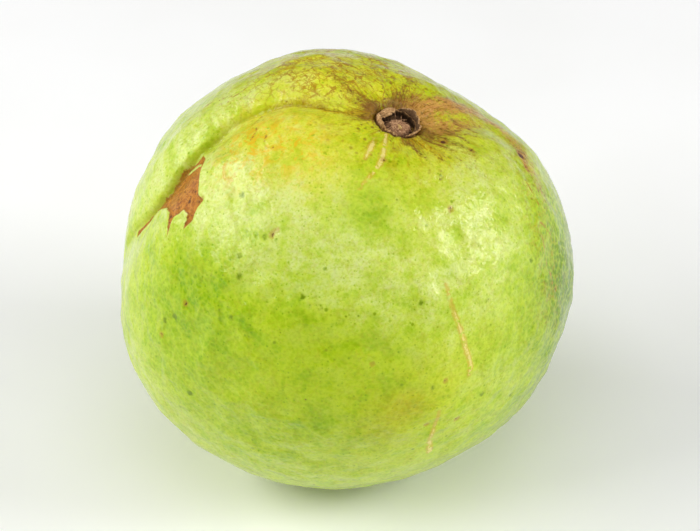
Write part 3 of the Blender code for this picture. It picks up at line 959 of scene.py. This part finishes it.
scar_edge = ragged_edge("scar", 1.0)
scarred = waxy.level(scar_edge, 0.10, -0.10)
scar_colour = waxy.mix(seen(198, 130, 46), seen(170, 102, 32),
                       waxy.level(waxy.noise(1.1 * MM, 4, 0.7), 0.42, 0.6))
scar_colour = waxy.mix(scar_colour, seen(112, 62, 24),
                       waxy.level(waxy.noise(0.5 * MM, 2, 0.6), 0.56, 0.66, 0, 0.85))
scar_pits = waxy.times(dots(waxy, 1.5 * MM, 0.18 * MM, 0.5 * MM, 0.55, 4.3), 0.85)
scar_colour = waxy.mix(scar_colour, seen(78, 42, 24), scar_pits)
scar_colour = waxy.mix(scar_colour, seen(146, 92, 34), waxy.level(scar_edge, -0.55, -0.05, 0, 0.4))
waxy.paint(scar_colour, scarred)

# %% Scratches, cracks, spots, and painted shade along the fold's line
worn = waxy.level(waxy.noise(1.3 * MM, 2, 0.6), 0.36, 0.5)
scratch_edge = ragged_edge("scratch", 1.3)
waxy.paint(seen(206, 168, 60), waxy.level(scratch_edge, 0.5, 0.0, 0, 0.6), worn)
waxy.paint(seen(236, 220, 134), waxy.level(scratch_edge, 0.0, -0.2), worn, 0.75)
waxy.paint(seen(166, 112, 40), waxy.level(ragged_edge("crack", 0.9), 0.32, 0.05, 0, 0.85), worn)
brown_edge = ragged_edge("brown_spot", 1.1)
waxy.paint(seen(170, 120, 40), waxy.level(brown_edge, 0.45, -0.05, 0, 0.55))
waxy.paint(seen(92, 52, 30), waxy.level(brown_edge, -0.05, -0.30))
waxy.paint(seen(104, 132, 0), waxy.level(ragged_edge("green_spot", 1.4), 0.2, -0.4, 0, 0.9))
# Painted shade: a darker olive line along the crease of the fold.
crease_shade_line = waxy.level(waxy.math("ABSOLUTE", waxy.read("fold")), 0.45, 0.1)
waxy.paint(seen(142, 134, 10), crease_shade_line, waxy.read("fold_depth"), 0.35)
waxy.finish("Base Color", waxy.colour)

# %% Gloss and fine relief
dry = waxy.math("MAXIMUM", scarred, waxy.times(stained, 0.8))
gloss = waxy.level(waxy.noise(3.2 * MM, 3, 0.6), 0.35, 0.7, 0.40, 0.50)
waxy.finish("Roughness", waxy.math("MAXIMUM", gloss, waxy.times(dry, 0.8)))

swells = waxy.noise(3.6 * MM, 2, 0.5, waxy.shaken(5 * MM, 3 * MM))
wrinkles = waxy.noise(1.5 * MM, 3, 0.55, waxy.shaken(3 * MM, 2.5 * MM))
valleys = waxy.math("ABSOLUTE", waxy.math("SUBTRACT", wrinkles, 0.5))
ridges = waxy.math("SUBTRACT", 1.0, valleys)
crinkled = waxy.level(waxy.noise(9 * MM, 2), 0.45, 0.62, 0.35, 1.0)
waxy.bumps((waxy.times(swells, crinkled), 0.36 * MM),
           (waxy.times(ridges, crinkled), 0.18 * MM),
           (waxy.noise(0.7 * MM, 2, 0.5), 0.06 * MM),
           (cells, 0.05 * MM),
           (waxy.times(streaks, waxy.read("streaks")), 0.5 * MM),
           (waxy.times(waxy.noise(0.3 * MM, 3, 0.7), dry), 0.15 * MM))
finish_piece(skin, ["fruit"], waxy)
print("the skin is done, with", len(waxy.tree.nodes), "nodes in its material")

# %% [markdown]
# ## The dry crown
#
# The flower's sepals stay on the fruit as a small dry crown: a woody rim with five worn, curled
# lobes on it, and inside it a mat of withered stamens round the stub of the style. Every piece
# is modelled upright at the origin, with +X to the right and +Y to the back, and one matrix then
# moves it onto the fruit.

# %% The crown's own frame
GAP = 0.3 * MM  # what the plain pieces leave between each other
RING_MIDDLE = 1.25 * MM  # how high the plain ring's middle is over the skin
SUNK = 0.7 * MM  # the skin has swollen up round the rim
SEAT = middle_of("calyx_ring") - CALYX_AXIS * (RING_MIDDLE + SUNK)


def frame_of(right, back, up, origin):
    return Matrix.Translation(origin) @ Matrix(np.array((right, back, up)).T.tolist()).to_4x4()


on_calyx = frame_of(CALYX_RIGHT, CALYX_BACK, CALYX_AXIS, SEAT)
print("the crown stands at", (SEAT / MM).round(1), "mm")


# %% Two more helpers: which places look inwards, and smooth noise for points
def write_hollow(obj):
    """Marks the places that look in towards the crown's axis, which its finish paints darker."""
    inwards = -unit(points_of(obj) * (1, 1, 0))
    facing_in = np.sum(rows_of(obj.data.vertices, "normal") * inwards, axis=1)
    write(obj, "hollow", fade(facing_in, 0.15, 0.7))


def lumps(points, size, seed=0.0):
    """Smooth noise between about -1 and 1 at each point, with lumps of about this size."""
    shift = Vector((seed, 2 * seed, 3 * seed))
    return np.array([noise.noise(Vector(p) / size + shift) for p in points])


# %% [markdown]
# ### The rim
#
# The rim is a low woody cup. A cylinder's top is inset and pushed down to make the hollow, and
# its edges are bevelled. A cylinder has few, long faces, so the Remesh modifier lays an even
# net over it, which the Displace modifier can then roughen: dry wood has no clean edge.

# %% The rim
RIM_OUTSIDE = 4.15 * MM
RIM_WALL = 0.8 * MM
RIM_HEIGHT = 1.9 * MM
RIM_HOLLOW = 1.1 * MM

rim = start("calyx_rim", bpy.ops.mesh.primitive_cylinder_add, vertices=64, radius=RIM_OUTSIDE,
            depth=RIM_HEIGHT, location=(0, 0, GAP + RIM_HEIGHT / 2))
select_top(rim)
in_edit_mode(rim, (bpy.ops.mesh.inset, {"thickness": RIM_WALL}), lift(-RIM_HOLLOW))
modify(rim, "BEVEL", width=0.3 * MM, segments=3, limit_method="ANGLE", angle_limit=radians(50))
modify(rim, "REMESH", mode="VOXEL", voxel_size=0.11 * MM)
points = points_of(rim)
FRONT, WORN_REACH, WORN_DEPTH = radians(-105), radians(62), 1.2 * MM
worn_front = bump(np.arctan2(points[:, 1], points[:, 0]) - FRONT, WORN_REACH, 4)
points[:, 2] -= WORN_DEPTH * worn_front * fade(points[:, 2], 0.9 * MM, 2.2 * MM)
move_points(rim, points)
displace(rim, "rim_lumps", 1.3 * MM, 0.5 * MM)
displace(rim, "rim_roughness", 0.35 * MM, 0.16 * MM)
write_hollow(rim)
settle(rim, on_calyx)
print("the rim has", len(rim.data.polygons), "faces")

# %% [markdown]
# ### The sepals
#
# A sepal starts as a flat grid. Its rows are laid round the rim and climb to a ragged tip,
# leaning further as they go: outwards on the right, where the lobes make a thin crescent, and
# back inwards on the left, where the lobe has rolled up like an ear. Then the sheet gets its
# thickness from the Solidify modifier and its softness from Subdivision Surface.

# %% How one sepal is made
SEPAL_FOOT_RADIUS = 3.75 * MM
SEPAL_FOOT_HEIGHT = GAP + RIM_HEIGHT - 0.25 * MM
ROWS = 16
COLUMNS = 28


def sepal(name, turn, width, height, first_lean, last_lean, thick, seed):
    """Turn and leans are in degrees, where a lean of 0 is upright and 90 is flat outwards."""
    leaf = start(name, bpy.ops.mesh.primitive_grid_add, x_subdivisions=COLUMNS,
                 y_subdivisions=ROWS, size=2)
    flat = points_of(leaf)
    across, up = flat[:, 0], (flat[:, 1] + 1) / 2
    edge = lumps(np.column_stack((across, 0 * across, 0 * across)), 0.35, seed)
    length = height * (1 - 0.42 * np.abs(across) ** 3 + 0.2 * edge)

    steps = np.linspace(0, 1, 60)
    lean = np.radians(first_lean + (last_lean - first_lean) * steps)
    out = np.interp(up, steps, np.cumsum(np.sin(lean)) / len(steps)) * length
    rise = np.interp(up, steps, np.cumsum(np.cos(lean)) / len(steps)) * length

    crinkle = lumps(flat, 0.55, seed + 5) * (0.1 + 0.35 * up) + 0.12 * np.cos(11 * across) * up
    radius = SEPAL_FOOT_RADIUS + out + 0.55 * MM * crinkle
    angle = np.radians(turn + across * width / 2 * (1 - 0.22 * up ** 2) + 3 * edge * up)
    high = SEPAL_FOOT_HEIGHT + rise + 0.3 * MM * crinkle
    move_points(leaf, np.column_stack((radius * np.cos(angle), radius * np.sin(angle), high)))
    modify(leaf, "SOLIDIFY", thickness=thick, offset=0)
    modify(leaf, "SUBSURF", levels=1, render_levels=1)
    displace(leaf, name + "_grain", 0.4 * MM, 0.12 * MM)
    in_edit_mode(leaf, WHOLE, (bpy.ops.mesh.normals_make_consistent, {"inside": False}))
    write_hollow(leaf)
    settle(leaf, on_calyx)
    return leaf


# %% The five sepals: turn, width, height, first and last lean, thickness, seed
SEPALS = {
    "sepal_left": (194, 84, 1.5 * MM, 16, -45, 0.50 * MM, 1.1),
    "sepal_back": (140, 84, 2.8 * MM, -8, -112, 0.46 * MM, 2.3),
    "sepal_right": (44, 92, 1.2 * MM, 14, 60, 0.34 * MM, 3.9),
    "sepal_front_right": (-28, 80, 1.5 * MM, 6, 44, 0.32 * MM, 4.4),
    "sepal_front": (-118, 54, 0.8 * MM, -35, 10, 0.40 * MM, 5.7),
}
sepals = {node: sepal("dry_" + node, *shape) for node, shape in SEPALS.items()}
print("five sepals, of", len(sepals["sepal_left"].data.polygons), "faces each")

# %% [markdown]
# ### The stamens and the style
#
# A guava flower has hundreds of stamens. On the ripe fruit they are a matted lump of short,
# brittle threads. One thread is extruded step by step and then copied; each copy is bent and
# leaned its own way, with a seeded random turn, and all of them join the lump.

# %% The lump
MAT_HEIGHT = 1.45 * MM
stamens = start("dry_stamens", bpy.ops.mesh.primitive_uv_sphere_add, segments=56, ring_count=28,
                radius=2.4 * MM)
squashed = Matrix.Diagonal((1, 0.9, 0.55, 1))
put_in_place(stamens, Matrix.Translation((0.2 * MM, -0.9 * MM, MAT_HEIGHT)) @ squashed)
displace(stamens, "mat_lumps", 0.8 * MM, 0.7 * MM)
displace(stamens, "mat_fibres", 0.25 * MM, 0.2 * MM)

# %% One thread, and its copies
THREADS = 80
THREAD_STEP = 0.32 * MM
THREAD_STEPS = 7


def extruded(name, sides, radius, step, steps):
    """A thin rod along +Z from the origin, made of steps that can bend."""
    rod = start(name, bpy.ops.mesh.primitive_cylinder_add, vertices=sides, radius=radius,
                depth=step, location=(0, 0, step / 2))
    select_top(rod)
    in_edit_mode(rod, *[lift(step)] * (steps - 1))
    return rod


def bend(obj, curl, wave=0.0):
    """Bends a rod that stands on the origin towards +X: curl is in radians per metre."""
    points = points_of(obj)
    angle = curl * points[:, 2]
    slow = np.where(np.abs(angle) < 1e-6, 1e-6, angle)
    along_x = points[:, 2] * (1 - np.cos(slow)) / slow
    along_z = points[:, 2] * np.sin(slow) / slow
    points[:, 2] = along_z - points[:, 0] * np.sin(angle)
    points[:, 0] = along_x + points[:, 0] * np.cos(angle)
    points[:, 1] += wave * np.sin(points[:, 2] * 2500)
    move_points(obj, points)


thread = extruded("thread", 5, 0.075 * MM, THREAD_STEP, THREAD_STEPS)
rng = np.random.default_rng(12)
copies = []
for _ in range(THREADS):
    copy = thread.copy()
    copy.data = thread.data.copy()
    bpy.context.scene.collection.objects.link(copy)
    bend(copy, rng.uniform(250, 1100), rng.uniform(-0.1, 0.1) * MM)
    angle = rng.uniform(0, 2 * pi)
    radius = 2.0 * MM * rng.uniform() ** 0.6
    foot = (radius * cos(angle), radius * sin(angle) - 0.3 * MM, MAT_HEIGHT + 0.2 * MM)
    turn = angle + rng.uniform(-1.6, 1.6)
    size = rng.uniform(0.45, 0.95)
    put_in_place(copy, Matrix.Translation(foot) @ Matrix.Rotation(turn, 4, "Z")
                 @ Matrix.Rotation(rng.uniform(0.7, 1.4), 4, "Y") @ Matrix.Scale(size, 4))
    copies.append(copy)
bpy.data.objects.remove(thread)
only(stamens)
for copy in copies:
    copy.select_set(True)
bpy.ops.object.join()
settle(stamens, on_calyx)
print("the stamens have", len(stamens.data.polygons), "faces")

# %% The style: one thicker thread, hooked over at its broken end
style = extruded("style", 12, 0.32 * MM, 0.22 * MM, 11)
points = points_of(style)
points[:, :2] *= (1.25 - 0.25 * fade(points[:, 2], 0, 1.2 * MM))[:, None]
move_points(style, points)
bend(style, 800)
modify(style, "SUBSURF", levels=1, render_levels=1)
displace(style, "style_grain", 0.3 * MM, 0.1 * MM)
settle(style, on_calyx @ Matrix.Translation((0.0, -0.5 * MM, MAT_HEIGHT))
       @ Matrix.Rotation(radians(-70), 4, "Z"))

# %% [markdown]
# ### Dry plant matter
#
# All of it is dead, dry tissue: fibres that run one way, tan on the upper edges and dark brown
# low down and in the hollows. One function makes that finish, and each part gets its own colours.
# Low places in the crown are painted darker than its upper edges, so the height over the fruit is
# one of the things that it reads.

# %% The finish of the crown
def dry_plant(name, rubbed, usual, stained, fibre_size, dark_below, light_above):
    """Colours are as seen; the two heights are in metres over the fruit's skin."""
    bench = Patterns(name, Roughness=0.82, Specular_IOR_Level=0.25)
    height = bench.round_axis(CALYX_AXIS, SEAT)[0]
    wander = bench.swing(bench.noise(0.9 * MM, 3), 1.6 * MM)
    # The finish is painted lighter high up on the crown and darker low down.
    worn = bench.level(bench.math("ADD", height, wander), dark_below, light_above)
    fibres = bench.fibres(CALYX_AXIS, height, fibre_size, 0.7, 0.75)
    bench.colour = bench.mix(stained, usual, worn)
    bench.paint(rubbed, worn, bench.level(fibres, 0.46, 0.62))
    bench.paint(stained, bench.level(fibres, 0.44, 0.34, 0, 0.8))
    # Faces that look in towards the crown's axis are painted a darker, nearly black brown.
    hollow = bench.math("ADD", bench.read("hollow"), bench.times(fibres, 0.5))
    bench.paint(bench.mix(stained, seen(28, 18, 8), 0.5), bench.level(hollow, 0.45, 1.2, 0, 0.85))
    bench.paint(stained, dots(bench, 0.9 * MM, 0.05 * MM, 0.16 * MM, 0.4, 0.7), 0.7)
    bench.finish("Base Color", bench.colour)
    bench.finish("Roughness", bench.level(fibres, 0.3, 0.7, 0.72, 0.9))
    bench.bumps((fibres, 0.22 * MM), (bench.noise(0.12 * MM, 2), 0.04 * MM))
    return bench


finishes = {
    "dry_calyx": dry_plant("dry_calyx", seen(196, 152, 96), seen(140, 100, 56), seen(64, 40, 18),
                           0.45 * MM, 0.9 * MM, 2.6 * MM),
    "dry_sepal": dry_plant("dry_sepal", seen(222, 182, 128), seen(178, 134, 84), seen(84, 54, 28),
                           0.35 * MM, 1.7 * MM, 3.0 * MM),
    "dry_stamens": dry_plant("dry_stamens", seen(214, 170, 126), seen(156, 112, 78),
                             seen(70, 46, 30), 0.3 * MM, 1.1 * MM, 2.4 * MM),
    "style": dry_plant("dry_style", seen(226, 200, 130), seen(190, 150, 92), seen(96, 64, 36),
                       0.3 * MM, 0.8 * MM, 2.2 * MM),
}

finish_piece(rim, ["calyx_ring"], finishes["dry_calyx"])
for node, leaf in sepals.items():
    finish_piece(leaf, [node], finishes["dry_sepal"])
finish_piece(stamens, ["stamen_mat"], finishes["dry_stamens"])
finish_piece(style, ["style_stub"], finishes["style"])
print("the crown is done")

# %% [markdown]
# ## The stub of stem
#
# At the other end, underneath, the picked fruit keeps a few millimetres of its stalk: woody,
# ridged, wider where it joins the fruit, and broken off with a fibrous end. A cylinder is
# extruded step by step, its foot is widened, its end is inset and pushed in a little, and
# ridges and lumps go on after an even net is laid over it.

# %% The stem
STEM_RADIUS = 2.1 * MM
STEM_LENGTH = 5.0 * MM
STEM_STEPS = 10

stem = extruded("stem", 48, STEM_RADIUS, STEM_LENGTH / STEM_STEPS, STEM_STEPS)
select_top(stem)
in_edit_mode(stem, (bpy.ops.mesh.inset, {"thickness": 0.55 * MM}), lift(-0.35 * MM))
modify(stem, "BEVEL", width=0.25 * MM, segments=2, limit_method="ANGLE", angle_limit=radians(50))
modify(stem, "REMESH", mode="VOXEL", voxel_size=0.13 * MM)
points = points_of(stem)
angle = np.arctan2(points[:, 1], points[:, 0])
foot = 1 + 0.3 * bump(points[:, 2], 1.6 * MM)
ridges = 1 + 0.045 * np.cos(9 * angle + 1.5 * lumps(points, 2 * MM)) + 0.02 * np.cos(23 * angle)
points[:, :2] *= (foot * ridges)[:, None]
splinter = fade(points[:, 2], 4.2 * MM, 5 * MM) * lumps(points, 0.7 * MM, 3.0)
points[:, 2] += 0.45 * MM * splinter
move_points(stem, points)
displace(stem, "bark_lumps", 0.9 * MM, 0.3 * MM)
STEM_SIDE = unit(np.cross((0.0, 0.0, 1.0), STEM_AXIS))
stem_foot = middle_of("stem_stub") - STEM_AXIS * (STEM_LENGTH / 2)
on_stem = frame_of(STEM_SIDE, np.cross(STEM_AXIS, STEM_SIDE), STEM_AXIS, stem_foot)
settle(stem, on_stem)
print("the stem has", len(stem.data.polygons), "faces")

# %% Bark, and the pale wood of the broken end
bark = Patterns("stem_bark", Roughness=0.85, Specular_IOR_Level=0.2)
up_stem, aside = bark.round_axis(STEM_AXIS, stem_foot)
fibres = bark.fibres(STEM_AXIS, up_stem, 0.6 * MM, 0.65, 0.8)
bark.colour = bark.mix(seen(112, 90, 58), seen(162, 136, 92), bark.level(fibres, 0.42, 0.62))
bark.paint(seen(128, 132, 62), bark.level(bark.noise(2.2 * MM, 2), 0.5, 0.62, 0, 0.5))
bark.paint(seen(186, 166, 126), dots(bark, 1.1 * MM, 0.1 * MM, 0.24 * MM, 0.5, 0.4), 0.6)
wood = bark.mix(seen(206, 180, 128), seen(146, 112, 70), bark.level(fibres, 0.45, 0.6))
bark.paint(wood, bark.level(up_stem, 4.3 * MM, 4.6 * MM),
           bark.level(bark.vector("LENGTH", aside), 1.9 * MM, 1.5 * MM))
bark.finish("Base Color", bark.colour)
bark.finish("Roughness", bark.level(fibres, 0.3, 0.7, 0.75, 0.92))
bark.bumps((fibres, 0.35 * MM), (bark.noise(0.2 * MM, 2), 0.06 * MM))
finish_piece(stem, ["stem_stub"], bark)

# %% [markdown]
# ## The floor and the light
#
# The fruit lies on a sheet of plain white paper. Its satin skin shows the shape of the lights. A
# wide softbox high on the left lays a broad haze over that shoulder. A smaller, brighter one on
# the right makes the sparkle there, and a large weak one overhead opens the shadows. The room
# itself is dim, because a bright room would be mirrored all over the skin and wash its green out.

# %% Floor
FLOOR_SIZE = 6.0
floor = start("floor", bpy.ops.mesh.primitive_plane_add, size=FLOOR_SIZE)
paper = Patterns("pale_floor", Roughness=0.7, Specular_IOR_Level=0.3)
soft = paper.level(paper.noise(0.05, 2), 0.3, 0.7)
paper.finish("Base Color", paper.mix(seen(247, 247, 246), seen(250, 250, 250), soft))
floor.data.materials.append(paper.material)


# %% Lights
def softbox(name, towards, distance, width, height, glow):
    """A light that faces the fruit; glow is its brightness, where 1 is white paper."""
    data = bpy.data.lights.new(name, "AREA")
    data.shape = "RECTANGLE"
    data.size = width
    data.size_y = height
    data.energy = glow * pi * width * height
    light = bpy.data.objects.new(name, data)
    towards = Vector(towards).normalized()
    light.location = AIM + towards * distance
    light.rotation_euler = towards.to_track_quat("Z", "Y").to_euler()
    bpy.context.scene.collection.objects.link(light)


softbox("left_softbox", (-0.82, -0.06, 0.55), 0.9, 1.0, 0.34, 7.0)
softbox("right_softbox", (0.89, -0.14, 0.42), 0.9, 0.40, 0.44, 11.0)
softbox("top_softbox", (0.05, -0.32, 0.95), 1.0, 0.9, 0.9, 1.55)

ROOM_LIGHT = 0.08
world = bpy.data.worlds.new("dim_room")
world.use_nodes = True
room = world.node_tree.nodes["Background"]
room.inputs["Color"].default_value = (1, 1, 1, 1)
room.inputs["Strength"].default_value = ROOM_LIGHT
bpy.context.scene.world = world
bpy.context.scene.view_settings.view_transform = "Standard"
